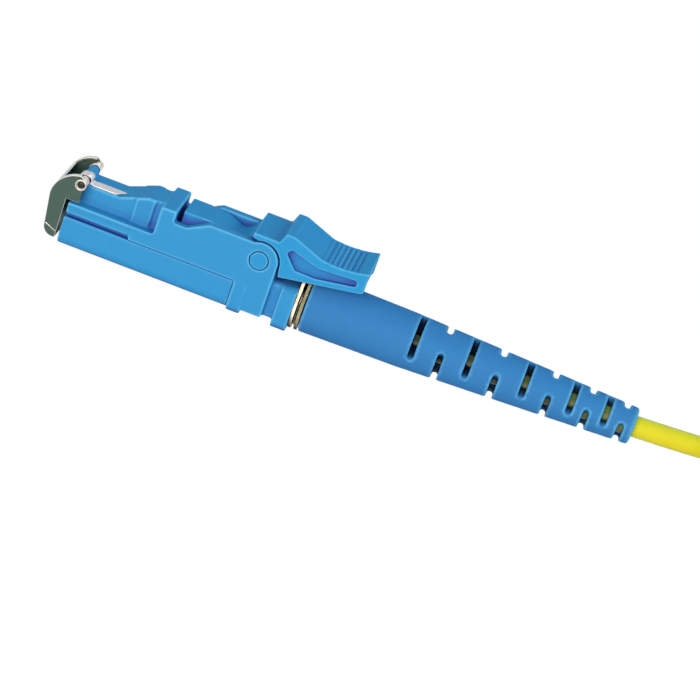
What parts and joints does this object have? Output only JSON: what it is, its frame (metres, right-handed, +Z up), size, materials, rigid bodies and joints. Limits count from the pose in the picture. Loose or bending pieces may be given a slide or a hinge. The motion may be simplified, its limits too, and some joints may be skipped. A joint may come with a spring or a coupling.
{
  "type": "fibre optic patch cable",
  "caption": "Simplex fibre optic patch cable with a latching, shuttered push-pull plug, slotted boot and thin round jacket, the spare length tied in a flat hank.",
  "frame": {"origin": "under the middle of the near plug, on the surface that the cable lies on", "axes": "+X from the near plug's shutter towards the cable, +Z up towards the latch lever, +Y to the left when looking along +X"},
  "size_m": [0.1994, 0.0239, 0.0098],
  "materials": {
    "housing_blue": "light blue moulded polyamide, satin gloss, finely grained",
    "lever_blue": "the same blue moulded plastic as the housing",
    "boot_blue": "blue thermoplastic elastomer, matt",
    "cable_yellow": "yellow extruded jacket, soft sheen",
    "shutter_metal": "folded nickel silver sheet with bright cut edges",
    "pin_steel": "turned steel",
    "leaf_steel": "bright spring steel",
    "bright_metal": "turned brass with a bright nickel plating",
    "crimp_metal": "drawn brass sleeve",
    "ceramic_white": "polished white ceramic",
    "buffer_white": "white buffer coating",
    "tie_black": "black plastic tie band"
  },
  "bodies": {
    "root": {"housing_base": "housing_blue", "housing_frame": "housing_blue", "shutter_pin": "pin_steel", "leaf_spring": "leaf_steel", "ferrule_spring": "leaf_steel", "crimp_body": "bright_metal", "crimp_sleeve": "crimp_metal", "boot": "boot_blue", "cable_stub": "cable_yellow", "far_housing_base": "housing_blue", "far_housing_frame": "housing_blue", "far_shutter_pin": "pin_steel", "far_leaf_spring": "leaf_steel", "far_ferrule_spring": "leaf_steel", "far_crimp_body": "bright_metal", "far_crimp_sleeve": "crimp_metal", "far_boot": "boot_blue", "far_cable_stub": "cable_yellow", "cable_lead": "cable_yellow", "cable_hank": "cable_yellow", "cable_tail": "cable_yellow", "hank_tie_near": "tie_black", "hank_tie_far": "tie_black"},
    "latch": {"latch_lever": "lever_blue"},
    "shutter_hood": {"shutter": "shutter_metal"},
    "ferrule_unit": {"ferrule": "ceramic_white", "ferrule_holder": "pin_steel", "buffer": "buffer_white"},
    "far_latch": {"far_latch_lever": "lever_blue"},
    "far_shutter_hood": {"far_shutter": "shutter_metal"},
    "far_ferrule_unit": {"far_ferrule": "ceramic_white", "far_ferrule_holder": "pin_steel", "far_buffer": "buffer_white"}
  },
  "joints": [
    {"name": "latch_rock", "type": "hinge", "parent": "root", "child": "latch", "pos_m": [-0.00882, 0, 0.00625], "axis": [0, 1, 0], "range_deg": [0, 5], "stiffness_Nm_per_rad": 0.2},
    {"name": "shutter_hinge", "type": "hinge", "parent": "root", "child": "shutter_hood", "pos_m": [-0.02693, 0, 0.007], "axis": [0, 1, 0], "range_deg": [0, 90], "stiffness_Nm_per_rad": 0.0005},
    {"name": "ferrule_float", "type": "slide", "parent": "root", "child": "ferrule_unit", "axis": [1, 0, 0], "range_m": [0, 0.0008], "stiffness_N_per_m": 1000, "deforming": ["ferrule_spring"]},
    {"name": "far_latch_rock", "type": "hinge", "parent": "root", "child": "far_latch", "pos_m": [0.14915, 0.0032, 0.00625], "axis": [0, -1, 0], "range_deg": [0, 5], "stiffness_Nm_per_rad": 0.2},
    {"name": "far_shutter_hinge", "type": "hinge", "parent": "root", "child": "far_shutter_hood", "pos_m": [0.16725, 0.0032, 0.007], "axis": [0, -1, 0], "range_deg": [0, 90], "stiffness_Nm_per_rad": 0.0005},
    {"name": "far_ferrule_float", "type": "slide", "parent": "root", "child": "far_ferrule_unit", "axis": [-1, 0, 0], "range_m": [0, 0.0008], "stiffness_N_per_m": 1000, "deforming": ["far_ferrule_spring"]}
  ]
}
